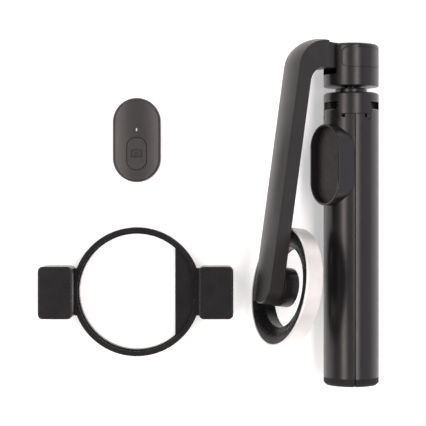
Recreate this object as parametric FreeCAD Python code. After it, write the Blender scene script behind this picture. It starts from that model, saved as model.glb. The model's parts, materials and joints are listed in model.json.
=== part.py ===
"""Folding selfie stick tripod with a magnetic phone ring, its clip-on remote and its slip-on phone clamp.

Everything is in millimetres. Z is up and the three items lie side by side on the plane Z = 0:
the stick along +Y on the right, the remote and the clamp on the left. Most of the stick is drawn
in a frame of its own, with the pole along Y and "outward" along +Z, then turned about the pole.
"""

import FreeCAD
import Part
import math
import os

os.makedirs("parts", exist_ok=True)

# ---- where the three items lie ----
STICK_X = 74.0
REMOTE_X, REMOTE_Y = -37.8, 38.1
CLAMP_X, CLAMP_Y = -37.8, -41.5

# ---- handle: three legs round a telescopic pole ----
HANDLE_R = 14.3
STICK_Z = HANDLE_R
FOOT_END_Y, FOOT_TOP_Y = -89.2, -85.2
LEG_AZIMUTHS = {"front_left": -57.0, "front_right": 63.0, "back": 183.0}
LEG_INNER_R = 8.6
LEG_SHOULDER_Y = 50.6
LEG_SEAM = 0.5
LEG_WALL = 1.8
LUG_WIDTH, LUG_TOP_Y = 10.4, 53.6
HINGE_R, HINGE_Y, HINGE_PIN_R = 11.2, 49.6, 0.9
EAR_R, EAR_REACH = 2.0, 7.2
COLLAR_TOP_Y, COLLAR_SKIRT_Y = 61.9, 57.0

# ---- telescopic pole: outer radius of each tube, from the fixed one inwards ----
POLE_RADII = (8.0, 7.2, 6.4, 5.6, 4.8)
POLE_WALL = 0.45
POLE_TOP_Y, POLE_BASE_Y = 61.6, -84.0
BUSH_LENGTH = 6.0
FIT = 0.05

# ---- pan head ----
HEAD_BASE_Y, HEAD_TOP_Y = 65.2, 87.0
CAP_R, CAP_BASE_Y, CAP_TOP_Y = 8.2, 61.95, 64.3
PAN_AXLE_R = 3.0
SLOT_HALF, SLOT_FLOOR_Y = 6.95, 71.3
TILT_Y, TILT_BOLT_R = 79.6, 2.5
COVER_LENGTH, COVER_HEIGHT, COVER_SKIN = 21.4, 9.8, 1.35

# ---- arm: folded down beside the handle, in one plane through the pole's axis ----
ARM_AZIMUTH = -66.0
ARM_WIDTH, ARM_THICK, ARM_CROWN = 17.5, 7.5, 1.3
ARM_SLANT = 8.4
ROOT_R, ROOT_LOW_Y, ROOT_TOP_Y = 17.6, 74.2, 87.9
OUTER_BEND_R, INNER_BEND_R = 15.2, 8.5
INNER_BEND_AT_R = 19.75
END_PAST_HUB = 1.1
ARM_COVER_DEPTH = 0.8
LUG_HALF, NECK_HALF, NECK_R = 5.6, 7.1, 14.9
COVER_SCREWS_UP = (22.0, 58.0, 94.0)

# ---- magnetic ring: drawn with its axis along Z and the arm's inner face at Z = 0 ----
HUB_AT_R, HUB_AT_Y = 43.6, -37.2
HUB_R, HUB_END = 10.15, -8.4
RING_R, RING_BACK, RING_FRONT = 30.7, -1.3, -10.2
RING_HOLE_R = 20.6
PAD_THICK, MAGNET_THICK, YOKE_THICK = 0.9, 2.4, 0.85
BRACKET_WIDTH = 16.6

# ---- remote cradle on the front left leg ----
CRADLE_HALF, CRADLE_LENGTH, CRADLE_AT_Y = 12.2, 42.0, 24.6
CRADLE_RIM, CRADLE_FLOOR, CRADLE_SEAT = 17.5, 12.6, 11.4
CRADLE_WALL = 1.1
LINER_LOW, LINER_HIGH = 13.55, 14.1

# ---- remote ----
REMOTE_HALF, REMOTE_LENGTH, REMOTE_TOP = 12.6, 44.2, 9.6
REMOTE_WALL = 1.3
REMOTE_CROWN_R = 60.0
PLUG_HEIGHT, PLUG_HALF, PLUG_LENGTH = 3.2, 10.4, 38.4
REMOTE_SPLIT = 5.6
BUTTON_WIDTH, BUTTON_LENGTH, BUTTON_OFF_Y = 10.3, 16.8, -7.2
LED_OFF_Y = 5.3

# ---- clamp ----
CLAMP_R, CLAMP_BORE_R, CLAMP_DEPTH = 33.8, 31.2, 9.0
CLAMP_SHELF_R = 30.4
JAW_IN, JAW_OUT, JAW_WIDTH, JAW_TOP = 32.75, 50.5, 27.2, 20.5
STOP_EDGE, STOP_TOP, STOP_THICK = 20.1, 5.5, 2.4
TONGUE_END, TONGUE_WIDTH, TONGUE_LOW, TONGUE_HIGH = 46.0, 17.0, 2.4, 6.4

CLEAR = 0.3
BIG = 400.0


def vec(x, y, z):
    return FreeCAD.Vector(x, y, z)


X_AXIS, Y_AXIS, Z_AXIS, ORIGIN = vec(1, 0, 0), vec(0, 1, 0), vec(0, 0, 1), vec(0, 0, 0)


def box(x0, x1, y0, y1, z0, z1):
    return Part.makeBox(x1 - x0, y1 - y0, z1 - z0, vec(x0, y0, z0))


def rod_y(radius, y0, y1, x=0.0, z=0.0):
    return Part.makeCylinder(radius, y1 - y0, vec(x, y0, z), Y_AXIS)


def rod_x(radius, x0, x1, y=0.0, z=0.0):
    return Part.makeCylinder(radius, x1 - x0, vec(x0, y, z), X_AXIS)


def rod_z(radius, z0, z1, x=0.0, y=0.0):
    return Part.makeCylinder(radius, z1 - z0, vec(x, y, z0), Z_AXIS)


def tube_y(outer, inner, y0, y1):
    return rod_y(outer, y0, y1).cut(rod_y(inner, y0 - 1, y1 + 1))


def tube_z(outer, inner, z0, z1):
    return rod_z(outer, z0, z1).cut(rod_z(inner, z0 - 1, z1 + 1))


def stadium(half, length, z0, z1, y=0.0):
    """Upright prism of a stadium: two round ends of radius half, length overall along Y."""
    reach = length / 2 - half
    middle = box(-half, half, y - reach, y + reach, z0, z1)
    ends = [rod_z(half, z0, z1, 0, y + s * reach) for s in (-1, 1)]
    return middle.multiFuse(ends).removeSplitter()


def rounded_box(x0, x1, y0, y1, z0, z1, corner):
    """Box with its four upright corners rounded."""
    block = box(x0, x1, y0, y1, z0, z1)
    upright = [e for e in block.Edges if abs(e.tangentAt(e.FirstParameter).z) > 0.9]
    return block.makeFillet(corner, upright)


def polygon(points, axis, depth):
    """Prism of a closed outline of points, pushed along a vector."""
    wire = Part.makePolygon(points + [points[0]])
    return Part.Face(wire).extrude(axis * depth)


def moved(shape, x, y, z):
    out = shape.copy()
    out.translate(vec(x, y, z))
    return out


def about_pole(shape, azimuth=0.0):
    """Turn a shape about the pole, then put it on the stick's axis. Azimuth runs from +Z to +X."""
    out = shape.copy()
    out.rotate(ORIGIN, Y_AXIS, azimuth)
    out.translate(vec(STICK_X, 0, STICK_Z))
    return out


def on_hub(shape):
    """Put a shape drawn about the ring's own axis at the hub, on the arm's inner face."""
    out = shape.copy()
    out.rotate(ORIGIN, X_AXIS, -ARM_SLANT)
    out.translate(vec(0, HUB_AT_Y, HUB_AT_R))
    return about_pole(out, ARM_AZIMUTH)


def at_remote(shape):
    return moved(shape, REMOTE_X, REMOTE_Y, 0)


def at_clamp(shape):
    return moved(shape, CLAMP_X, CLAMP_Y, 0)


def edges_at_y(shape, y, radius=0.0):
    """Edges lying in a plane across Y, and if a radius is given only those that far out."""
    found = []
    for edge in shape.Edges:
        bounds = edge.BoundBox
        flat = abs(bounds.YMin - y) < 1e-3 and abs(bounds.YMax - y) < 1e-3
        middle = edge.valueAt((edge.FirstParameter + edge.LastParameter) / 2)
        if flat and (not radius or abs(math.hypot(middle.x, middle.z) - radius) < 1e-2):
            found.append(edge)
    return found


def edges_at_z(shape, z):
    """Edges lying in a plane across Z."""
    return [e for e in shape.Edges if abs(e.BoundBox.ZMin - z) < 1e-3 and abs(e.BoundBox.ZMax - z) < 1e-3]


def sector(outer, inner, y0, y1, half_angle, seam):
    """Piece of a tube about the pole, centred on +Z, with a gap of seam left between neighbours."""
    ring = tube_y(outer, inner, y0, y1) if inner > 0 else rod_y(outer, y0, y1)
    wedge = polygon(
        [
            vec(0, y0, 0),
            vec(-BIG * math.sin(math.radians(half_angle)), y0, BIG * math.cos(math.radians(half_angle))),
            vec(0, y0, 2 * BIG),
            vec(BIG * math.sin(math.radians(half_angle)), y0, BIG * math.cos(math.radians(half_angle))),
        ],
        Y_AXIS,
        y1 - y0,
    )
    wedge.translate(vec(0, 0, seam / 2 / math.sin(math.radians(half_angle))))
    return ring.common(wedge)


# ------------------------------------------------------------------ handle


def tripod_collar():
    ring = tube_y(HANDLE_R, POLE_RADII[0] + 0.02, LEG_SHOULDER_Y + 0.25, COLLAR_TOP_Y)
    ring = ring.makeFillet(1.4, edges_at_y(ring, COLLAR_TOP_Y, HANDLE_R))
    slot = box(-LUG_WIDTH / 2 - 0.3, LUG_WIDTH / 2 + 0.3, 0, COLLAR_SKIRT_Y, 0, 2 * HANDLE_R)
    pin_bore = rod_x(HINGE_PIN_R, -9.0, 9.0, HINGE_Y, HINGE_R)
    ears = box(-EAR_REACH, EAR_REACH, HINGE_Y, COLLAR_SKIRT_Y, HINGE_R - EAR_R, HINGE_R + EAR_R)
    ears = ears.fuse(rod_x(EAR_R, -EAR_REACH, EAR_REACH, HINGE_Y, HINGE_R))
    ears = ears.common(rod_y(HANDLE_R - 0.3, 40, 60))
    for azimuth in LEG_AZIMUTHS.values():
        for cutter, joins in ((ears, True), (slot, False), (pin_bore, False)):
            turned = cutter.copy()
            turned.rotate(ORIGIN, Y_AXIS, azimuth)
            ring = ring.fuse(turned) if joins else ring.cut(turned)
    return about_pole(ring.removeSplitter())


def hinge_pins():
    pins = []
    reach = EAR_REACH - 0.4
    for azimuth in LEG_AZIMUTHS.values():
        pins.append(about_pole(rod_x(HINGE_PIN_R, -reach, reach, HINGE_Y, HINGE_R), azimuth))
    return Part.makeCompound(pins)


def ear_clearance():
    """Room in a leg's shoulders for the collar's two hinge ears."""
    reach = EAR_REACH + CLEAR
    ears = rod_x(EAR_R + CLEAR, -reach, reach, HINGE_Y, HINGE_R)
    return ears.cut(box(-LUG_WIDTH / 2, LUG_WIDTH / 2, 0, 90, 0, 40))


def leg_shell(with_cradle):
    body = sector(HANDLE_R, LEG_INNER_R, FOOT_TOP_Y, LEG_SHOULDER_Y, 60, LEG_SEAM)
    hollow_low, hollow_high = FOOT_TOP_Y + 3.0, 40.0
    if with_cradle:
        hollow_high = CRADLE_AT_Y - CRADLE_LENGTH / 2 - 3.0
    hollow = sector(HANDLE_R - LEG_WALL, 0, hollow_low, hollow_high, 60, LEG_SEAM + 2 * LEG_WALL)
    body = body.cut(hollow)
    half = LUG_WIDTH / 2
    lug_block = box(-half, half, HINGE_Y - 6, LUG_TOP_Y, HINGE_R + 1.4, HANDLE_R + 1)
    lug_round = rod_x(3.0, -half, half, HINGE_Y, HINGE_R)
    lug_root = box(-half, half, HINGE_Y - 6, HINGE_Y, HINGE_R - 2.0, HANDLE_R + 1)
    lug_form = rod_y(HANDLE_R, 40, LUG_TOP_Y)
    lug_form = lug_form.makeFillet(1.3, edges_at_y(lug_form, LUG_TOP_Y, HANDLE_R))
    lug = lug_block.multiFuse([lug_round, lug_root]).common(lug_form)
    body = body.cut(ear_clearance())
    # The shoulders beside the lug are sloped, so that they pass under the collar as the leg opens.
    for side in (-1, 1):
        slope = polygon(
            [
                vec(side * half, HINGE_Y + 1.2, HINGE_R + 0.45),
                vec(side * half, HINGE_Y - 2.9, HANDLE_R + 0.2),
                vec(side * half, HINGE_Y + 1.2, HANDLE_R + 0.2),
            ],
            X_AXIS,
            side * 9.0,
        )
        body = body.cut(slope)
    body = body.fuse(lug)
    body = body.cut(rod_x(HINGE_PIN_R + FIT, -9, 9, HINGE_Y, HINGE_R))
    if with_cradle:
        pocket = cradle_block(0.06).cut(rod_y(CRADLE_SEAT - 0.05, 0, 60))
        body = body.cut(pocket)
        body = body.cut(cradle_screw_shanks(0.0))
    return body.removeSplitter()


def cradle_block(grow):
    """Stadium block standing on the leg, kept inside the leg's own third of the handle."""
    block = stadium(CRADLE_HALF + grow, CRADLE_LENGTH + 2 * grow, 6.0, CRADLE_RIM, CRADLE_AT_Y)
    return block.common(sector(30, 0, 0, 60, 60, LEG_SEAM))


def cradle_screw_shanks(extra):
    shanks = [rod_z(1.1 + extra, 9.2, CRADLE_FLOOR, 0, CRADLE_AT_Y + s * 13.0) for s in (-1, 1)]
    return Part.makeCompound(shanks)


def remote_cradle():
    cup = cradle_block(0).cut(rod_y(CRADLE_SEAT, 0, 60))
    cup = cup.makeFillet(0.4, edges_at_z(cup, CRADLE_RIM))
    half = CRADLE_HALF - CRADLE_WALL
    recess = stadium(half, CRADLE_LENGTH - 2 * CRADLE_WALL, CRADLE_FLOOR, 30, CRADLE_AT_Y)
    cup = cup.cut(recess).cut(cradle_screw_shanks(0.02))
    return about_pole(cup, LEG_AZIMUTHS["front_left"])


def cradle_screws():
    screws = []
    for s in (-1, 1):
        y = CRADLE_AT_Y + s * 13.0
        head = rod_z(2.0, CRADLE_FLOOR + 0.02, CRADLE_FLOOR + 0.9, 0, y)
        drive = box(-1.2, 1.2, y - 0.25, y + 0.25, CRADLE_FLOOR + 0.5, CRADLE_FLOOR + 1)
        cross = box(-0.25, 0.25, y - 1.2, y + 1.2, CRADLE_FLOOR + 0.5, CRADLE_FLOOR + 1)
        shank = rod_z(1.08, 9.3, CRADLE_FLOOR + 0.02, 0, y)
        screws.append(about_pole(head.fuse(shank).cut(drive).cut(cross), LEG_AZIMUTHS["front_left"]))
    return Part.makeCompound(screws)


def cradle_liner():
    """Thin pad on the cradle's floor that hides the screws; the remote's plug sits on it."""
    half = CRADLE_HALF - CRADLE_WALL - 0.05
    length = CRADLE_LENGTH - 2 * CRADLE_WALL - 0.1
    pad = stadium(half, length, LINER_LOW, LINER_HIGH, CRADLE_AT_Y)
    pad = pad.common(sector(30, 0, 0, 60, 60, LEG_SEAM))
    return about_pole(pad, LEG_AZIMUTHS["front_left"])


def leg_foot():
    """Rubber foot: a full third of a disc with its lower outer edge chamfered."""
    disc = rod_y(HANDLE_R, FOOT_END_Y, FOOT_TOP_Y)
    disc = disc.makeChamfer(1.4, edges_at_y(disc, FOOT_END_Y, HANDLE_R))
    third = sector(HANDLE_R + 1, 0, FOOT_END_Y, FOOT_TOP_Y, 60, LEG_SEAM)
    return disc.common(third)


def pole_tube(index):
    """One pole tube, its mouth rolled in to guide the next tube."""
    outer = POLE_RADII[index]
    base = POLE_BASE_Y + (3.0 if index else 0.0)
    tube = tube_y(outer, outer - POLE_WALL, base, POLE_TOP_Y)
    if index + 1 < len(POLE_RADII):
        mouth = tube_y(outer - 0.02, POLE_RADII[index + 1] + FIT, POLE_TOP_Y - 3, POLE_TOP_Y)
        tube = tube.fuse(mouth)
    return about_pole(tube.removeSplitter())


def slide_bush(index):
    """Plastic bush round the foot of a sliding tube; it runs in the bore of the tube outside."""
    outer = POLE_RADII[index - 1] - POLE_WALL - FIT
    low = POLE_BASE_Y + 3.0
    bush = tube_y(outer, POLE_RADII[index] + 0.01, low, low + BUSH_LENGTH)
    slit = box(-0.4, 0.4, low + 2, low + BUSH_LENGTH + 1, 0, 20)
    return about_pole(bush.cut(slit))


def pole_end_plug():
    bore = POLE_RADII[0] - POLE_WALL - 0.01
    plug = rod_y(bore, POLE_BASE_Y - 0.6, POLE_BASE_Y + 2.2)
    return about_pole(plug.makeChamfer(0.3, edges_at_y(plug, POLE_BASE_Y + 2.2, bore)))


# ------------------------------------------------------------------ pan head


def pole_cap():
    disc = rod_y(CAP_R, CAP_BASE_Y, CAP_TOP_Y)
    disc = disc.makeChamfer(0.5, edges_at_y(disc, CAP_TOP_Y, CAP_R))
    spigot = rod_y(POLE_RADII[-1] - POLE_WALL - 0.02, 50.0, CAP_BASE_Y + 0.5)
    return about_pole(disc.fuse(spigot).cut(rod_y(PAN_AXLE_R, 55.0, 70.0)).removeSplitter())


def pan_axle():
    shank = rod_y(PAN_AXLE_R - 0.01, 55.02, 70.6)
    return about_pole(shank.makeChamfer(0.4, edges_at_y(shank, 70.6, PAN_AXLE_R - 0.01)))


def pan_washer():
    return about_pole(tube_y(5.0, PAN_AXLE_R + 0.02, CAP_TOP_Y + 0.02, HEAD_BASE_Y - 0.03))


def pan_nut():
    hexagon = [
        vec(4.6 * math.cos(math.radians(60 * k)), 68.6, 4.6 * math.sin(math.radians(60 * k)))
        for k in range(6)
    ]
    nut = polygon(hexagon, Y_AXIS, 2.3)
    return about_pole(nut.cut(rod_y(PAN_AXLE_R, 60, 75)))


def cover_prism(grow):
    """Prism through both cheeks of the head with the rounded outline of a hinge cover."""
    reach, height = COVER_LENGTH / 2 + grow, COVER_HEIGHT / 2 + grow
    plate = rounded_box(-reach, reach, -height, height, -20, 20, 2.6)
    plate.rotate(ORIGIN, Y_AXIS, 90)
    plate.translate(vec(0, TILT_Y, 0))
    return plate


def head_shell():
    head = rod_y(HANDLE_R, HEAD_BASE_Y, HEAD_TOP_Y)
    head = head.makeFillet(1.7, edges_at_y(head, HEAD_TOP_Y, HANDLE_R))
    head = head.makeFillet(0.5, edges_at_y(head, HEAD_BASE_Y, HANDLE_R))
    head = head.cut(box(-SLOT_HALF, SLOT_HALF, SLOT_FLOOR_Y, 100, -20, 20))
    head = head.cut(rod_y(PAN_AXLE_R + FIT, 60, 80))
    head = head.cut(rod_y(5.6, 68.4, 80))
    seat = cover_prism(0.15).cut(rod_y(HANDLE_R - COVER_SKIN - 0.02, 60, 95))
    head = head.cut(seat)
    head = head.cut(rod_x(TILT_BOLT_R, -20, 20, TILT_Y, 0))
    head = head.cut(rod_x(4.6, 9.0, 20, TILT_Y, 0)).cut(rod_x(4.6, -20, -9.0, TILT_Y, 0))
    return about_pole(head, ARM_AZIMUTH)


def hinge_cover(side):
    plate = cover_prism(0).common(rod_y(HANDLE_R - 0.02, 60, 95))
    plate = plate.cut(rod_y(HANDLE_R - COVER_SKIN, 60, 95))
    half = box(0, 20, 60, 95, -20, 20) if side > 0 else box(-20, 0, 60, 95, -20, 20)
    return about_pole(plate.common(half), ARM_AZIMUTH)


def tilt_bolt():
    shank = rod_x(TILT_BOLT_R - 0.01, -11.4, 9.1, TILT_Y, 0)
    head = rod_x(4.4, 9.02, 11.6, TILT_Y, 0)
    socket = polygon(
        [
            vec(10.0, TILT_Y + 2.0 * math.cos(math.radians(60 * k)), 2.0 * math.sin(math.radians(60 * k)))
            for k in range(6)
        ],
        X_AXIS,
        3.0,
    )
    return about_pole(shank.fuse(head).cut(socket).removeSplitter(), ARM_AZIMUTH)


def tilt_nut():
    nut = rod_x(4.4, -11.2, -9.02, TILT_Y, 0).cut(rod_x(TILT_BOLT_R, -20, 0, TILT_Y, 0))
    flats = box(-12, -9, TILT_Y - 3.8, TILT_Y + 3.8, -10, 10)
    return about_pole(nut.common(flats), ARM_AZIMUTH)


def tilt_washers():
    washers = []
    for low, high in ((LUG_HALF + 0.02, SLOT_HALF - 0.02), (-SLOT_HALF + 0.02, -LUG_HALF - 0.02)):
        disc = rod_x(5.6, low, high, TILT_Y, 0).cut(rod_x(TILT_BOLT_R + 0.02, -20, 20, TILT_Y, 0))
        washers.append(about_pole(disc, ARM_AZIMUTH))
    return Part.makeCompound(washers)


# ------------------------------------------------------------------ arm

SLANT = math.radians(ARM_SLANT)
OUTER_BEND_Y = ROOT_TOP_Y - OUTER_BEND_R
INNER_BEND_Y = ROOT_LOW_Y - INNER_BEND_R
# The outer face runs parallel to the inner one, an arm's thickness away.
OUTER_BEND_AT_R = (
    INNER_BEND_AT_R
    + (INNER_BEND_R + ARM_THICK - OUTER_BEND_R) / math.cos(SLANT)
    - (OUTER_BEND_Y - INNER_BEND_Y) * math.tan(SLANT)
)


def along_arm(section):
    """Carry a section round the arm: out from the root, round the bend and down the long limb.

    The section lies in the plane Z = ROOT_R, with X across the arm and Y at the arm's outer face.
    """
    root = section.extrude(vec(0, 0, OUTER_BEND_AT_R - ROOT_R))
    at_bend = section.copy()
    at_bend.translate(vec(0, 0, OUTER_BEND_AT_R - ROOT_R))
    turn = 90 - ARM_SLANT
    bend = at_bend.revolve(vec(0, OUTER_BEND_Y, OUTER_BEND_AT_R), X_AXIS, turn)
    at_limb = at_bend.copy()
    at_limb.rotate(vec(0, OUTER_BEND_Y, OUTER_BEND_AT_R), X_AXIS, turn)
    limb = at_limb.extrude(vec(0, -math.cos(SLANT), math.sin(SLANT)) * 130)
    return root.multiFuse([bend, limb]).removeSplitter()


def limb_end(half, top=40.0, soft=0.0):
    """Upright stadium about the hub that rounds the arm's free end, as long as the whole arm."""
    limb = stadium(half, 240, -30, top, 120 - half - END_PAST_HUB)
    if soft:
        limb = limb.makeFillet(soft, edges_at_z(limb, top))
    limb.rotate(ORIGIN, X_AXIS, -ARM_SLANT)
    limb.translate(vec(0, HUB_AT_Y, HUB_AT_R))
    return limb


def outline_wire():
    """Side view of the arm's inner body: root, both bends and the long limb, in the Y-Z plane."""
    deep = ARM_COVER_DEPTH
    end = 125.0
    down = vec(0, -math.cos(SLANT), math.sin(SLANT))
    out = vec(0, math.sin(SLANT), math.cos(SLANT))
    outer_centre = vec(0, OUTER_BEND_Y, OUTER_BEND_AT_R)
    inner_centre = vec(0, INNER_BEND_Y, INNER_BEND_AT_R)
    outer_r = OUTER_BEND_R - deep
    half_turn = math.radians((90 - ARM_SLANT) / 2)
    mid = vec(0, math.cos(half_turn), math.sin(half_turn))
    a = vec(0, ROOT_TOP_Y - deep, ROOT_R)
    b = vec(0, ROOT_TOP_Y - deep, OUTER_BEND_AT_R)
    c = outer_centre + out * outer_r
    f = inner_centre + out * INNER_BEND_R
    g = vec(0, ROOT_LOW_Y, INNER_BEND_AT_R)
    h = vec(0, ROOT_LOW_Y, ROOT_R)
    e = f + down * end
    d = e + out * (ARM_THICK - deep)
    edges = [
        Part.makeLine(a, b),
        Part.Arc(b, outer_centre + mid * outer_r, c).toShape(),
        Part.makeLine(c, d),
        Part.makeLine(d, e),
        Part.makeLine(e, f),
        Part.Arc(f, inner_centre + mid * INNER_BEND_R, g).toShape(),
        Part.makeLine(g, h),
        Part.makeLine(h, a),
    ]
    return Part.Wire(edges)


def rectangle_section(half, top, bottom):
    places = ((-half, top), (half, top), (half, bottom), (-half, bottom), (-half, top))
    return Part.Face(Part.makePolygon([vec(x, y, ROOT_R) for x, y in places]))


def arm_frame():
    side = Part.Face(outline_wire())
    body = side.extrude(vec(ARM_WIDTH, 0, 0))
    body.translate(vec(-ARM_WIDTH / 2, 0, 0))
    body = body.common(limb_end(ARM_WIDTH / 2))
    pocket = along_arm(rectangle_section(ARM_WIDTH / 2 - 1.7, ROOT_TOP_Y, ROOT_TOP_Y - ARM_THICK + 1.9))
    keep_end = limb_end(ARM_WIDTH / 2 - 1.7)
    pocket = pocket.common(keep_end)
    pocket = pocket.cut(box(-20, 20, 60, 100, 0, ROOT_R + 2.0))
    body = body.cut(pocket)
    lug = polygon(
        [
            vec(-LUG_HALF, TILT_Y - 5.2, 0),
            vec(-LUG_HALF, TILT_Y - 5.2, ROOT_R + 1),
            vec(-LUG_HALF, ROOT_TOP_Y - 0.4, ROOT_R + 1),
            vec(-LUG_HALF, HEAD_TOP_Y - 0.2, 5.0),
            vec(-LUG_HALF, TILT_Y + 6.6, 0),
        ],
        X_AXIS,
        2 * LUG_HALF,
    )
    lug = lug.fuse(rod_x(6.8, -LUG_HALF, LUG_HALF, TILT_Y, 0))
    neck = polygon(
        [
            vec(-NECK_HALF, ROOT_LOW_Y, NECK_R),
            vec(-NECK_HALF, ROOT_LOW_Y, ROOT_R + 0.6),
            vec(-NECK_HALF, ROOT_TOP_Y - 0.4, ROOT_R + 0.6),
            vec(-NECK_HALF, ROOT_TOP_Y - 0.7, NECK_R),
        ],
        X_AXIS,
        2 * NECK_HALF,
    )
    body = body.multiFuse([lug, neck])
    body = body.cut(box(-20, 20, ROOT_TOP_Y - ARM_COVER_DEPTH, 100, ROOT_R - 0.02, 60))
    body = body.cut(rod_x(TILT_BOLT_R + FIT, -20, 20, TILT_Y, 0))
    for up in COVER_SCREWS_UP:
        body = body.fuse(limb_rod(2.6, up, 0.5, ARM_THICK - ARM_COVER_DEPTH))
        body = body.cut(limb_rod(1.0, up, -1.0, 9.0)).cut(limb_rod(1.95, up, -1.0, 1.05))
    body = body.fuse(limb_rod(6.0, 0, 0.0, 4.6)).cut(limb_rod(2.0, 0, -1, 10))
    return about_pole(body.removeSplitter(), ARM_AZIMUTH)


def limb_rod(radius, up, z0, z1):
    """Rod through the long limb, up millimetres above the hub."""
    rod = rod_z(radius, z0, z1, 0, up)
    rod.rotate(ORIGIN, X_AXIS, -ARM_SLANT)
    rod.translate(vec(0, HUB_AT_Y, HUB_AT_R))
    return rod


def cover_screws():
    screws = []
    for up in COVER_SCREWS_UP:
        shank = limb_rod(0.98, up, 0.9, ARM_THICK + 0.2)
        head = limb_rod(1.9, up, 0.1, 1.0)
        screws.append(about_pole(shank.fuse(head), ARM_AZIMUTH))
    return Part.makeCompound(screws)


def crown_section():
    """Section of the outer cover: a flat underside, short sides and a crowned outer face."""
    half = ARM_WIDTH / 2
    left, right = vec(-half, ROOT_TOP_Y, ROOT_R), vec(half, ROOT_TOP_Y, ROOT_R)
    low_y = ROOT_TOP_Y - ARM_COVER_DEPTH + 0.02
    low_left, low_right = vec(-half, low_y, ROOT_R), vec(half, low_y, ROOT_R)
    crown = Part.Arc(left, vec(0, ROOT_TOP_Y + ARM_CROWN, ROOT_R), right).toShape()
    edges = [
        crown,
        Part.makeLine(right, low_right),
        Part.makeLine(low_right, low_left),
        Part.makeLine(low_left, left),
    ]
    return Part.Face(Part.Wire(edges))


def arm_cover():
    cover = along_arm(crown_section()).common(limb_end(ARM_WIDTH / 2, ARM_THICK + ARM_CROWN, 1.25))
    for up in COVER_SCREWS_UP:
        cover = cover.cut(limb_rod(1.0, up, 0, ARM_THICK + 0.3))
    return about_pole(cover.removeSplitter(), ARM_AZIMUTH)


def swivel_pin():
    """Pin through the arm's end that the ring's hub turns on; its head sits under the cover."""
    pin = rod_z(1.98, -7.2, 4.7).fuse(rod_z(3.2, 4.62, 5.9))
    return on_hub(pin.removeSplitter())


# ------------------------------------------------------------------ magnetic ring


def revolve_outline(points):
    """Turn a closed outline of (radius, height) points about Z."""
    corners = [vec(r, 0, z) for r, z in points]
    face = Part.Face(Part.makePolygon(corners + [corners[0]]))
    return face.revolve(ORIGIN, Z_AXIS, 360)


PAD_BACK = RING_FRONT + PAD_THICK
MAGNET_BACK = PAD_BACK + 0.05 + MAGNET_THICK
YOKE_BACK = MAGNET_BACK + 0.03 + YOKE_THICK


def ring_rim():
    edge = 0.45
    inner_r = RING_R - 1.25
    rim = revolve_outline(
        [
            (inner_r, RING_BACK),
            (RING_R - edge, RING_BACK),
            (RING_R, RING_BACK - edge),
            (RING_R, RING_FRONT + edge),
            (RING_R - edge, RING_FRONT),
            (inner_r, RING_FRONT),
        ]
    )
    return on_hub(rim)


def bracket_block(grow):
    """Bar from the ring's back to the hub, on one side only."""
    half = BRACKET_WIDTH / 2 + grow
    return box(-(RING_R - 3.0), 0, -half, half, -5.2, RING_BACK - 0.5)


def ring_back_cover():
    """Dished black back of the ring with its inner wall, hollow below for the magnets."""
    outer_r = RING_R - 1.28
    back = revolve_outline(
        [
            (outer_r, RING_BACK - 0.25),
            (outer_r - 3.4, RING_BACK - 0.7),
            (RING_HOLE_R + 2.6, RING_BACK - 1.6),
            (RING_HOLE_R + 1.5, RING_BACK - 2.3),
            (RING_HOLE_R, RING_BACK - 2.9),
            (RING_HOLE_R, PAD_BACK + 0.02),
            (RING_HOLE_R + 1.5, PAD_BACK + 0.02),
            (RING_HOLE_R + 1.5, YOKE_BACK + 0.03),
            (outer_r, YOKE_BACK + 0.03),
        ]
    )
    bar = bracket_block(0).cut(rod_z(HUB_R + 0.02, -20, 5))
    return on_hub(back.fuse(bar).removeSplitter())


def swivel_hub():
    hub = rod_z(HUB_R, HUB_END, -0.15)
    hub = hub.makeFillet(1.1, edges_at_z(hub, HUB_END))
    hub = hub.cut(rod_z(2.0 + FIT, -20, 5)).cut(rod_z(4.4, -20, -6.0))
    return on_hub(hub)


def hub_nut():
    """Nut on the end of the swivel pin, in a pocket of the hub; it stays with the arm."""
    return on_hub(tube_z(3.9, 2.0, -7.6, -6.1))


def hub_cap():
    cap = rod_z(4.38, HUB_END + 0.05, -7.8)
    return on_hub(cap.makeChamfer(0.2, edges_at_z(cap, HUB_END + 0.05)))


def ring_yoke():
    return on_hub(tube_z(RING_R - 1.4, RING_HOLE_R + 1.6, MAGNET_BACK + 0.03, YOKE_BACK))


def ring_magnets():
    count, gap = 18, 3.0
    outer_r, inner_r = RING_R - 1.6, RING_HOLE_R + 2.4
    block = tube_z(outer_r, inner_r, PAD_BACK + 0.05, MAGNET_BACK)
    half = 180 / count - gap / 2
    reach = BIG * math.tan(math.radians(half))
    wedge = polygon([vec(0, 0, -12), vec(BIG, -reach, -12), vec(BIG, reach, -12)], Z_AXIS, 10)
    segment = block.common(wedge)
    segments = []
    for k in range(count):
        turned = segment.copy()
        turned.rotate(ORIGIN, Z_AXIS, 360 * k / count)
        segments.append(on_hub(turned))
    return Part.makeCompound(segments)


def ring_pad():
    """Soft face that the phone rests on."""
    pad = tube_z(RING_R - 1.3, RING_HOLE_R, RING_FRONT, PAD_BACK)
    return on_hub(pad)


# ------------------------------------------------------------------ remote


def button_block(grow, z0, z1):
    x, y = BUTTON_WIDTH / 2 + grow, BUTTON_LENGTH / 2 + grow
    return rounded_box(-x, x, BUTTON_OFF_Y - y, BUTTON_OFF_Y + y, z0, z1, 4.7 + grow)


def crown(lift):
    """Long cylinder whose top is the remote's crowned top face, raised by lift."""
    return rod_y(REMOTE_CROWN_R + lift, -60, 60, 0, REMOTE_TOP - REMOTE_CROWN_R)


def edges_above(shape, z):
    """Edges that lie wholly above a height."""
    return [e for e in shape.Edges if e.BoundBox.ZMin > z]


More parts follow.
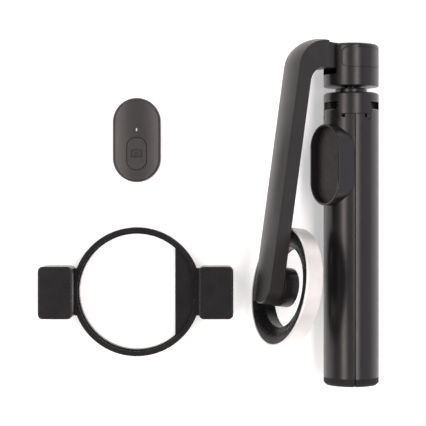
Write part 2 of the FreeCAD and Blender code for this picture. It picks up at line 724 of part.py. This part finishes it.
def remote_top_shell():
    shell = stadium(REMOTE_HALF, REMOTE_LENGTH, REMOTE_SPLIT + 0.02, REMOTE_TOP).common(crown(0))
    shell = shell.makeFillet(1.9, edges_above(shell, REMOTE_SPLIT + 0.5))
    inside = REMOTE_HALF - REMOTE_WALL
    hollow = stadium(inside, REMOTE_LENGTH - 2 * REMOTE_WALL, REMOTE_SPLIT - 1, REMOTE_TOP)
    shell = shell.cut(hollow.common(crown(-1.4)))
    shell = shell.cut(button_block(0.2, 5, 12))
    shell = shell.cut(stadium(0.37, 1.65, 5, 12, LED_OFF_Y))
    return at_remote(shell)


def remote_bottom_shell():
    body = stadium(REMOTE_HALF, REMOTE_LENGTH, PLUG_HEIGHT, REMOTE_SPLIT)
    body = body.makeFillet(1.6, edges_at_z(body, PLUG_HEIGHT))
    body = body.fuse(stadium(PLUG_HALF, PLUG_LENGTH, 0, PLUG_HEIGHT + 1))
    inside = REMOTE_HALF - REMOTE_WALL
    body = body.cut(stadium(inside, REMOTE_LENGTH - 2 * REMOTE_WALL, 4.5, 8))
    body = body.cut(stadium(PLUG_HALF - 1.3, PLUG_LENGTH - 2.6, 1.1, 8))
    return at_remote(body.removeSplitter())


def circuit_board():
    half = REMOTE_HALF - REMOTE_WALL - 0.3
    return at_remote(stadium(half, 2 * half + 18, 4.9, 5.6))


def coin_cell():
    cell = rod_z(8.0, 1.2, 4.3, 0, 5.0).fuse(rod_z(6.9, 4.3, 4.4, 0, 5.0))
    return at_remote(cell)


def battery_clips():
    top = box(-1.6, 1.6, -2.0, 12.0, 4.42, 4.6).fuse(box(-1.6, 1.6, -2.0, -0.8, 4.42, 4.88))
    side = box(-1.5, 1.5, -4.4, -3.3, 1.2, 4.88)
    return Part.makeCompound([at_remote(top), at_remote(side)])


def tact_switch():
    base = box(-2.6, 2.6, BUTTON_OFF_Y - 2.6, BUTTON_OFF_Y + 2.6, 5.62, 6.4)
    return at_remote(base.fuse(rod_z(1.2, 6.4, 6.75, 0, BUTTON_OFF_Y)))


def light_pipe():
    return at_remote(stadium(0.34, 1.6, 5.9, REMOTE_TOP - 0.02, LED_OFF_Y))


def shutter_button():
    cap = button_block(0, 7.45, REMOTE_TOP + 2).common(crown(0.15))
    cap = cap.makeFillet(0.35, edges_above(cap, 8.5))
    flange = button_block(0.9, 7.4, 7.75)
    return at_remote(cap.fuse(flange).removeSplitter())


# ------------------------------------------------------------------ clamp


def clamp_ring():
    ring = tube_z(CLAMP_R, CLAMP_SHELF_R, 0, CLAMP_DEPTH)
    ring = ring.makeChamfer(0.35, edges_at_z(ring, CLAMP_DEPTH))
    half = JAW_WIDTH / 2 - 1.2
    neck_right = box(CLAMP_BORE_R, JAW_IN + 2, -half, half, 0, CLAMP_DEPTH)
    neck_left = box(-JAW_IN + 0.1, -CLAMP_BORE_R, -half, half, 0, CLAMP_DEPTH)
    tongue = box(-TONGUE_END, -CLAMP_BORE_R - 1, -TONGUE_WIDTH / 2, TONGUE_WIDTH / 2, TONGUE_LOW, TONGUE_HIGH)
    body = ring.multiFuse([neck_right, neck_left])
    body = body.cut(jaw_block(1, 0.02)).cut(jaw_block(-1, 0.1)).fuse(tongue)
    body = body.cut(rod_z(CLAMP_SHELF_R, -1, CLAMP_DEPTH + 1)).cut(rod_z(CLAMP_BORE_R, STOP_TOP, CLAMP_DEPTH + 1))
    for s in (-1, 1):
        channel = box(-TONGUE_END + 2.0, -JAW_IN - 1.0, s * 5.0 - 1.7, s * 5.0 + 1.7, TONGUE_LOW - 1, TONGUE_HIGH + 1)
        body = body.cut(channel)
    return at_clamp(body.removeSplitter())


def clamp_stop():
    """D-shaped ledge in the bore that the phone ring's face stops against."""
    disc = rod_z(CLAMP_SHELF_R - 0.02, STOP_TOP - STOP_THICK, STOP_TOP)
    plate = disc.common(box(STOP_EDGE, 60, -60, 60, -1, 30))
    return at_clamp(plate)


def jaw_block(side, grow=0.0):
    """Upright jaw with rounded corners; side is +1 for the right jaw and -1 for the left one."""
    x0, x1 = sorted((side * (JAW_IN - grow), side * (JAW_OUT + grow)))
    half = JAW_WIDTH / 2 + grow
    return rounded_box(x0, x1, -half, half, 0, JAW_TOP, 2.5)


def jaw_pad_plate(side, grow):
    """Thin rubber pad let into the jaw's inner face."""
    x0, x1 = sorted((side * JAW_IN, side * (JAW_IN + 0.9 + grow)))
    half = JAW_WIDTH / 2 - 3.4 + grow
    return box(x0, x1, -half, half, CLAMP_DEPTH + 1.2 - grow, JAW_TOP - 1.4 + grow)


def jaw(side):
    block = jaw_block(side)
    block = block.makeFillet(0.8, edges_at_z(block, JAW_TOP))
    block = block.cut(jaw_pad_plate(side, 0.02))
    if side < 0:
        gap = 0.25
        cavity = box(
            -TONGUE_END - 1.2, -JAW_IN + 1, -TONGUE_WIDTH / 2 - gap, TONGUE_WIDTH / 2 + gap,
            TONGUE_LOW - gap, TONGUE_HIGH + gap,
        )
        block = block.cut(cavity)
    return at_clamp(block)


def jaw_pad(side):
    return at_clamp(jaw_pad_plate(side, 0.0))


def jaw_springs():
    """Two return springs in the tongue's channels, each drawn as the tube its coils fill."""
    springs = []
    for s in (-1, 1):
        low, high = -TONGUE_END + 2.2, -JAW_IN - 1.2
        tube = rod_x(1.45, low, high, s * 5.0, (TONGUE_LOW + TONGUE_HIGH) / 2)
        springs.append(at_clamp(tube.cut(rod_x(1.0, low - 1, high + 1, s * 5.0, (TONGUE_LOW + TONGUE_HIGH) / 2))))
    return Part.makeCompound(springs)


# ------------------------------------------------------------------ everything

NODES = {
    "tripod_collar": tripod_collar(),
    "leg_hinge_pins": hinge_pins(),
    "pole_end_plug": pole_end_plug(),
    "remote_cradle": remote_cradle(),
    "cradle_screws": cradle_screws(),
    "cradle_liner": cradle_liner(),
    "pole_cap": pole_cap(),
    "pan_axle": pan_axle(),
    "pan_friction_washer": pan_washer(),
    "pan_nut": pan_nut(),
    "head_shell": head_shell(),
    "hinge_cover_front": hinge_cover(1),
    "hinge_cover_back": hinge_cover(-1),
    "tilt_bolt": tilt_bolt(),
    "tilt_nut": tilt_nut(),
    "tilt_friction_washers": tilt_washers(),
    "arm_frame": arm_frame(),
    "arm_cover": arm_cover(),
    "arm_cover_screws": cover_screws(),
    "swivel_pin": swivel_pin(),
    "swivel_nut": hub_nut(),
    "swivel_hub": swivel_hub(),
    "hub_cap": hub_cap(),
    "ring_back_cover": ring_back_cover(),
    "ring_rim": ring_rim(),
    "ring_yoke": ring_yoke(),
    "ring_magnets": ring_magnets(),
    "ring_pad": ring_pad(),
    "remote_top_shell": remote_top_shell(),
    "remote_bottom_shell": remote_bottom_shell(),
    "remote_circuit_board": circuit_board(),
    "remote_coin_cell": coin_cell(),
    "remote_battery_clips": battery_clips(),
    "remote_switch": tact_switch(),
    "remote_light_pipe": light_pipe(),
    "shutter_button": shutter_button(),
    "clamp_ring": clamp_ring(),
    "clamp_stop": clamp_stop(),
    "clamp_jaw_right": jaw(1),
    "clamp_jaw_left": jaw(-1),
    "jaw_pad_right": jaw_pad(1),
    "jaw_pad_left": jaw_pad(-1),
    "jaw_springs": jaw_springs(),
}

for leg_name, leg_azimuth in LEG_AZIMUTHS.items():
    NODES["leg_shell_" + leg_name] = about_pole(leg_shell(leg_name == "front_left"), leg_azimuth)
    NODES["leg_foot_" + leg_name] = about_pole(leg_foot(), leg_azimuth)

for tube_index in range(len(POLE_RADII)):
    NODES["pole_tube_%d" % (tube_index + 1)] = pole_tube(tube_index)
    if tube_index:
        NODES["slide_bush_%d" % (tube_index + 1)] = slide_bush(tube_index)

for node_name, node_shape in sorted(NODES.items()):
    node_shape.exportStep("parts/%s.step" % node_name)
    extent = node_shape.BoundBox
    print(
        "%-24s solids %2d valid %s volume %8.1f  X %.1f..%.1f Y %.1f..%.1f Z %.1f..%.1f"
        % (
            node_name,
            len(node_shape.Solids),
            node_shape.isValid(),
            node_shape.Volume,
            extent.XMin,
            extent.XMax,
            extent.YMin,
            extent.YMax,
            extent.ZMin,
            extent.ZMax,
        )
    )
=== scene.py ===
"""Looks of the folded selfie stick with its remote and its phone clamp, seen from straight above."""

import bpy
import bmesh
import json
import math
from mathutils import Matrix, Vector


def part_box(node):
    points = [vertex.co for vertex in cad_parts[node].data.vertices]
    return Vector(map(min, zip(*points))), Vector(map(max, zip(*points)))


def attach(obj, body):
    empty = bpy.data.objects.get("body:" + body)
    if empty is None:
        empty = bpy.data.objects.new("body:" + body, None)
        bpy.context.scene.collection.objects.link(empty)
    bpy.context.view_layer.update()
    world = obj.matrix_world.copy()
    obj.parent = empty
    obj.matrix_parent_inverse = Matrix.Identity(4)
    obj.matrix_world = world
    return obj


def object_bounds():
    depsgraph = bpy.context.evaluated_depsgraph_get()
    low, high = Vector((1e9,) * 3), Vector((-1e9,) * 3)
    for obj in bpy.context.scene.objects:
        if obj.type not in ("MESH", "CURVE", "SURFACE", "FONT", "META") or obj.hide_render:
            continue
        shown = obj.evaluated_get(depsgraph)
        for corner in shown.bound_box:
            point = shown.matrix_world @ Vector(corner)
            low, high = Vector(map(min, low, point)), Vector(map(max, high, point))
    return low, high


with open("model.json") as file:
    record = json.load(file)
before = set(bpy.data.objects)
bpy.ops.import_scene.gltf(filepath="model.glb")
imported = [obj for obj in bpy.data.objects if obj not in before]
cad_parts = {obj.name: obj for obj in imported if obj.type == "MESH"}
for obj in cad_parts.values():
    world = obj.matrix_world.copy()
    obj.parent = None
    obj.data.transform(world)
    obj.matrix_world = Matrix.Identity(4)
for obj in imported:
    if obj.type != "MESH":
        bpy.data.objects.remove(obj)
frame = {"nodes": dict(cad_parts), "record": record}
cad_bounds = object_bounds()
NODES = frame["nodes"]
MM = 0.001

# Driving values of the picture, in metres.
STICK_X = sum(corner.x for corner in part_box("head_shell")) / 2
HANDLE_HEIGHT = 0.0143
CAMERA_HEIGHT = 0.75
CAMERA_X, CAMERA_Y = 0.0022, -0.0002
VIEW_WIDTH = 0.2215
SENSOR = 36.0
FLOOR_SIZE = 6.0
FLOOR_GAP = 0.0002
SOFTBOX_LENGTH = 1.6
CROWN_RADIUS = 60 * MM


# ------------------------------------------------------------------ materials


def new_material(name):
    material = bpy.data.materials.new(name)
    material.use_nodes = True
    tree = material.node_tree
    return material, tree, tree.nodes["Principled BSDF"]


def noise(tree, scale, detail=3.0, roughness=0.55):
    """Noise laid out in object space, so that it stays put on every piece. Scale is per metre."""
    place = tree.nodes.new("ShaderNodeTexCoord")
    texture = tree.nodes.new("ShaderNodeTexNoise")
    texture.inputs["Scale"].default_value = scale
    texture.inputs["Detail"].default_value = detail
    texture.inputs["Roughness"].default_value = roughness
    tree.links.new(place.outputs["Object"], texture.inputs["Vector"])
    return texture.outputs["Fac"]


def remap(tree, value, low, high):
    node = tree.nodes.new("ShaderNodeMapRange")
    node.inputs["From Min"].default_value = 0.3
    node.inputs["From Max"].default_value = 0.7
    node.inputs["To Min"].default_value = low
    node.inputs["To Max"].default_value = high
    tree.links.new(value, node.inputs["Value"])
    return node.outputs["Result"]


def mix_colours(tree, value, first, second):
    node = tree.nodes.new("ShaderNodeMix")
    node.data_type = "RGBA"
    node.inputs[6].default_value = (*first, 1)
    node.inputs[7].default_value = (*second, 1)
    tree.links.new(value, node.inputs[0])
    return node.outputs[2]


def add_bump(tree, shader, height, strength, distance):
    node = tree.nodes.new("ShaderNodeBump")
    node.inputs["Strength"].default_value = strength
    node.inputs["Distance"].default_value = distance
    tree.links.new(height, node.inputs["Height"])
    tree.links.new(node.outputs["Normal"], shader.inputs["Normal"])


def edge_wear(tree, amount):
    """Mask that is brighter on convex edges, broken up by noise."""
    geometry = tree.nodes.new("ShaderNodeNewGeometry")
    ramp = tree.nodes.new("ShaderNodeMapRange")
    ramp.inputs["From Min"].default_value = 0.54
    ramp.inputs["From Max"].default_value = 0.66
    ramp.inputs["To Max"].default_value = amount
    tree.links.new(geometry.outputs["Pointiness"], ramp.inputs["Value"])
    product = tree.nodes.new("ShaderNodeMath")
    product.operation = "MULTIPLY"
    tree.links.new(ramp.outputs["Result"], product.inputs[0])
    tree.links.new(noise(tree, 900), product.inputs[1])
    return product.outputs[0]


def moulded_plastic(name, dark, light, rough, grain=2600, grain_depth=0.014, shine=0.5, wear=0.35):
    """Moulded plastic: slow colour drift, a spark-eroded grain and slightly rubbed edges."""
    material, tree, shader = new_material(name)
    drift = mix_colours(tree, remap(tree, noise(tree, 45), 0, 1), dark, light)
    rubbed = tree.nodes.new("ShaderNodeMix")
    rubbed.data_type = "RGBA"
    rubbed.inputs[7].default_value = (light[0] * 2.6, light[1] * 2.6, light[2] * 2.6, 1)
    tree.links.new(edge_wear(tree, wear), rubbed.inputs[0])
    tree.links.new(drift, rubbed.inputs[6])
    tree.links.new(rubbed.outputs[2], shader.inputs["Base Color"])
    tree.links.new(remap(tree, noise(tree, 160), rough - 0.02, rough + 0.025), shader.inputs["Roughness"])
    shader.inputs["Specular IOR Level"].default_value = shine
    add_bump(tree, shader, noise(tree, grain, 2.0), 0.35, grain_depth * MM)
    return material


def add_ribs(material, pitch, depth):
    """Fine slanting ribs, moulded over the grain. Pitch is in metres."""
    tree = material.node_tree
    shader = tree.nodes["Principled BSDF"]
    grain = shader.inputs["Normal"].links[0].from_socket
    place = tree.nodes.new("ShaderNodeTexCoord")
    ribs = tree.nodes.new("ShaderNodeTexWave")
    ribs.bands_direction = "DIAGONAL"
    ribs.inputs["Scale"].default_value = 0.444 / pitch
    tree.links.new(place.outputs["Object"], ribs.inputs["Vector"])
    add_bump(tree, shader, ribs.outputs["Fac"], 1.0, depth)
    tree.links.new(grain, shader.inputs["Normal"].links[0].from_node.inputs["Normal"])


def metal(name, colour, rough, grain, grain_depth, metallic=1.0):
    material, tree, shader = new_material(name)
    shader.inputs["Metallic"].default_value = metallic
    darker = tuple(c * 0.93 for c in colour)
    tint = mix_colours(tree, remap(tree, noise(tree, 120), 0, 1), darker, colour)
    tree.links.new(tint, shader.inputs["Base Color"])
    tree.links.new(remap(tree, noise(tree, 400), rough - 0.05, rough + 0.05), shader.inputs["Roughness"])
    add_bump(tree, shader, noise(tree, grain, 2.0), 0.3, grain_depth * MM)
    return material


def rubber(name, colour, rough=0.75):
    material, tree, shader = new_material(name)
    lighter = tuple(c * 1.5 for c in colour)
    tint = mix_colours(tree, remap(tree, noise(tree, 250), 0, 1), colour, lighter)
    tree.links.new(tint, shader.inputs["Base Color"])
    tree.links.new(remap(tree, noise(tree, 700), rough - 0.06, rough + 0.08), shader.inputs["Roughness"])
    shader.inputs["Specular IOR Level"].default_value = 0.35
    add_bump(tree, shader, noise(tree, 3500, 4.0), 0.5, 0.06 * MM)
    return material


SATIN_DARK, SATIN_LIGHT = (0.0064, 0.0053, 0.0062), (0.0100, 0.0085, 0.0092)
MATERIALS = {
    "handle_plastic": moulded_plastic("handle_plastic", SATIN_DARK, SATIN_LIGHT, 0.30),
    "head_plastic": moulded_plastic("head_plastic", SATIN_DARK, SATIN_LIGHT, 0.30),
    "arm_plastic": moulded_plastic("arm_plastic", (0.0084, 0.0072, 0.0080), (0.0130, 0.0112, 0.0118), 0.37),
    "gloss_black": moulded_plastic(
        "gloss_black", (0.0035, 0.0034, 0.0038), (0.0060, 0.0056, 0.0060), 0.27, 2200, 0.008
    ),
    "remote_plastic": moulded_plastic(
        "remote_plastic", (0.024, 0.0218, 0.0222), (0.034, 0.0308, 0.0305), 0.33, 1800, 0.03, wear=0.05
    ),
    "button_plastic": moulded_plastic(
        "button_plastic", (0.021, 0.0185, 0.0205), (0.034, 0.0300, 0.0325), 0.50, 1500, 0.06
    ),
    "clamp_plastic": moulded_plastic(
        "clamp_plastic", (0.0048, 0.0042, 0.0048), (0.0070, 0.0061, 0.0069), 0.27, 2600, 0.006, shine=0.38
    ),
    "rim_aluminium": metal("rim_aluminium", (0.85, 0.83, 0.815), 0.45, 5000, 0.03, 0.55),
    "steel": metal("steel", (0.60, 0.60, 0.61), 0.30, 1500, 0.02),
    "dark_steel": metal("dark_steel", (0.035, 0.035, 0.038), 0.35, 1500, 0.02),
    "pole_steel": metal("pole_steel", (0.66, 0.66, 0.67), 0.16, 900, 0.01),
    "magnet_nickel": metal("magnet_nickel", (0.72, 0.71, 0.69), 0.22, 900, 0.02),
    "clip_brass": metal("clip_brass", (0.80, 0.62, 0.30), 0.28, 900, 0.02),
    "black_rubber": rubber("black_rubber", (0.0065, 0.0065, 0.007)),
    "pad_silicone": rubber("pad_silicone", (0.022, 0.0195, 0.0185), 0.52),
    "bush_plastic": moulded_plastic("bush_plastic", (0.70, 0.69, 0.66), (0.76, 0.75, 0.71), 0.40),
    "board_green": moulded_plastic("board_green", (0.02, 0.11, 0.04), (0.03, 0.15, 0.06), 0.32),
    "light_white": moulded_plastic("light_white", (0.50, 0.54, 0.60), (0.60, 0.64, 0.70), 0.25),
}

RIB_PITCH, RIB_DEPTH = 0.9 * MM, 0.14 * MM
add_ribs(MATERIALS["button_plastic"], RIB_PITCH, RIB_DEPTH)


# ------------------------------------------------------------------ CAD pieces: materials and soft edges

SLOT_OF = {s["node"]: s["material_slot"] for s in frame["record"]["subparts"]}
# Edge rounding in millimetres, where it isn't the plain one.
EDGE = {"arm_cover": 0.3, "arm_frame": 0.3, "clamp_ring": 0.25, "remote_cradle": 0.3, "head_shell": 0.2}
PLAIN_EDGE = 0.12
SHARP_ANGLE = math.radians(32)
WELD_DISTANCE = 0.002 * MM
FACING_UP = 0.97
CROWN_DEPTH = 1.4 * MM


def dress(node):
    """Give a CAD node its material, rounded edges and smooth shading."""
    piece = NODES[node]
    piece.data.materials.clear()
    piece.data.materials.append(MATERIALS[SLOT_OF[node]])
    for polygon in piece.data.polygons:
        polygon.use_smooth = True
    weld = piece.modifiers.new("weld", "WELD")
    weld.merge_threshold = WELD_DISTANCE
    bevel = piece.modifiers.new("bevel", "BEVEL")
    bevel.width = EDGE.get(node, PLAIN_EDGE) * MM
    bevel.segments = 2
    bevel.limit_method = "ANGLE"
    bevel.angle_limit = SHARP_ANGLE
    bevel.harden_normals = True
    normals = piece.modifiers.new("normals", "WEIGHTED_NORMAL")
    normals.mode = "FACE_AREA_WITH_ANGLE"
    normals.weight = 100


def smooth_crown(node, crown_radius):
    """Shade a crowned top as one even curve, whatever triangles it is made of.

    Its own shading normals replace those that the modifiers from dress() would make."""
    piece = NODES[node]
    piece.modifiers.clear()
    low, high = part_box(node)
    middle_x = (low.x + high.x) / 2
    placed = piece.matrix_world.copy()
    turned = placed.to_3x3()
    mesh = piece.data
    shading = [Vector(corner.vector) for corner in mesh.corner_normals]
    for polygon in mesh.polygons:
        if (turned @ polygon.normal).z > FACING_UP:
            for k in polygon.loop_indices:
                point = placed @ mesh.vertices[mesh.loops[k].vertex_index].co
                if point.z > high.z - CROWN_DEPTH:
                    curve = Vector(((point.x - middle_x) / crown_radius, 0, 1)).normalized()
                    shading[k] = turned.transposed() @ curve
    mesh.normals_split_custom_set(shading)


for node_name in NODES:
    dress(node_name)
smooth_crown("remote_top_shell", CROWN_RADIUS)


# ------------------------------------------------------------------ camera sign on the remote's button


def rounded_outline(half_x, half_y, corner, steps=6):
    """Closed outline of a rectangle with round corners, anticlockwise from the lower right one."""
    points = []
    for quarter in range(4):
        turn = math.radians(90 * quarter - 90)
        side_x = half_x - corner if quarter in (0, 1) else corner - half_x
        side_y = half_y - corner if quarter in (1, 2) else corner - half_y
        for k in range(steps + 1):
            angle = turn + math.radians(90 * k / steps)
            points.append((side_x + corner * math.cos(angle), side_y + corner * math.sin(angle)))
    return points


def line_ring(outline, width):
    """The same outline and a narrower one inside it, a line's width away."""
    inner = []
    count = len(outline)
    for k, (x, y) in enumerate(outline):
        before, after = Vector(outline[k - 1]), Vector(outline[(k + 1) % count])
        along = (after - before).normalized()
        inner.append((x - along.y * width, y + along.x * width))
    return outline, inner


def raised_lines(name, rings, low, high):
    """Thin solid lines between pairs of outlines, standing from one height to another."""
    mesh_maker = bmesh.new()
    for outer, inner in rings:
        outer_low, outer_high, inner_low, inner_high = [
            [mesh_maker.verts.new((x, y, z)) for x, y in loop] for loop in (outer, inner) for z in (low, high)
        ]
        count = len(outer)
        for k in range(count):
            n = (k + 1) % count
            mesh_maker.faces.new((outer_high[k], outer_high[n], inner_high[n], inner_high[k]))
            mesh_maker.faces.new((outer_low[k], outer_low[n], outer_high[n], outer_high[k]))
            mesh_maker.faces.new((inner_high[k], inner_high[n], inner_low[n], inner_low[k]))
            mesh_maker.faces.new((inner_low[k], inner_low[n], outer_low[n], outer_low[k]))
    mesh = bpy.data.meshes.new(name)
    mesh_maker.to_mesh(mesh)
    mesh_maker.free()
    piece = bpy.data.objects.new(name, mesh)
    bpy.context.scene.collection.objects.link(piece)
    return piece


def camera_sign():
    low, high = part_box("shutter_button")
    centre_x, centre_y = (low.x + high.x) / 2, (low.y + high.y) / 2
    case = rounded_outline(2.85 * MM, 1.95 * MM, 0.55 * MM)
    # The hump over the lens is put into the middle of the case's top side.
    hump = [(1.15 * MM, 1.95 * MM), (0.8 * MM, 2.6 * MM), (-0.8 * MM, 2.6 * MM), (-1.15 * MM, 1.95 * MM)]
    case = case[:14] + hump + case[14:]
    lens_radius, lens_y, steps = 1.1 * MM, -0.1 * MM, 32
    lens = []
    for k in range(steps):
        angle = 2 * math.pi * k / steps
        lens.append((lens_radius * math.cos(angle), lens_radius * math.sin(angle) + lens_y))
    rings = [line_ring(case, 0.5 * MM), line_ring(lens, 0.44 * MM)]
    rings = [[[(centre_x + x, centre_y + y) for x, y in loop] for loop in ring] for ring in rings]
    sign = raised_lines("camera_sign", rings, high.z - 0.03 * MM, high.z + 0.02 * MM)
    sign.data.materials.append(MATERIALS["black_rubber"])
    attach(sign, "shutter_button")


camera_sign()


# ------------------------------------------------------------------ floor, light and camera


def plane(name, width, depth, z, centre):
    mesh = bpy.data.meshes.new(name)
    half_x, half_y = width / 2, depth / 2
    corners = [(-half_x, -half_y), (half_x, -half_y), (half_x, half_y), (-half_x, half_y)]
    mesh.from_pydata([(centre[0] + x, centre[1] + y, z) for x, y in corners], [], [(0, 1, 2, 3)])
    piece = bpy.data.objects.new(name, mesh)
    bpy.context.scene.collection.objects.link(piece)
    return piece


def softbox(name, azimuth, distance, width, power, colour, centre):
    """Long area light above the object, at an angle from straight up, towards +X."""
    light = bpy.data.lights.new(name, "AREA")
    light.shape = "RECTANGLE"
    light.size, light.size_y = width, SOFTBOX_LENGTH
    light.energy = power
    light.color = colour
    lamp = bpy.data.objects.new(name, light)
    angle = math.radians(azimuth)
    lamp.location = centre + Vector((math.sin(angle), 0, math.cos(angle))) * distance
    lamp.rotation_euler = (0, angle, 0)
    bpy.context.scene.collection.objects.link(lamp)


middle = (cad_bounds[0] + cad_bounds[1]) / 2
floor = plane("floor", FLOOR_SIZE, FLOOR_SIZE, cad_bounds[0].z - FLOOR_GAP, middle)
floor_material, floor_tree, floor_shader = new_material("floor_paper")
floor_shader.inputs["Base Color"].default_value = (0.93, 0.93, 0.93, 1)
floor_shader.inputs["Roughness"].default_value = 0.9
floor_shader.inputs["Emission Color"].default_value = (1, 1, 1, 1)
floor_shader.inputs["Emission Strength"].default_value = 0.40
floor.data.materials.append(floor_material)

over_stick = Vector((STICK_X, middle.y, HANDLE_HEIGHT))
softbox("left_softbox", -34, 1.0, 0.28, 7.2, (1.0, 0.905, 0.855), over_stick)
softbox("right_softbox", 18, 1.0, 0.25, 7.4, (1.0, 0.91, 0.875), over_stick)
softbox("side_softbox", 62, 1.2, 0.7, 1.9, (0.91, 0.90, 1.0), over_stick)

world = bpy.data.worlds.new("studio")
bpy.context.scene.world = world
world.use_nodes = True
background = world.node_tree.nodes["Background"]
background.inputs["Color"].default_value = (0.955, 0.95, 1.0, 1)
# The backdrop is bright at the horizon and fades to the studio's dim ceiling.
direction = world.node_tree.nodes.new("ShaderNodeTexCoord")
height = world.node_tree.nodes.new("ShaderNodeSeparateXYZ")
fade = world.node_tree.nodes.new("ShaderNodeMapRange")
fade.interpolation_type = "SMOOTHSTEP"
fade.inputs["From Min"].default_value = 0.0
fade.inputs["From Max"].default_value = 0.30
fade.inputs["To Min"].default_value = 0.95
fade.inputs["To Max"].default_value = 0.33
world.node_tree.links.new(direction.outputs["Generated"], height.inputs["Vector"])
world.node_tree.links.new(height.outputs["Z"], fade.inputs["Value"])
world.node_tree.links.new(fade.outputs["Result"], background.inputs["Strength"])

camera_data = bpy.data.cameras.new("camera")
camera_data.sensor_width = SENSOR
camera_data.lens = SENSOR * (CAMERA_HEIGHT - HANDLE_HEIGHT) / VIEW_WIDTH
camera_data.clip_start, camera_data.clip_end = 0.05, 10
camera = bpy.data.objects.new("camera", camera_data)
camera.location = (CAMERA_X, CAMERA_Y, CAMERA_HEIGHT)
bpy.context.scene.collection.objects.link(camera)
bpy.context.scene.camera = camera
bpy.context.scene.view_settings.view_transform = "Standard"
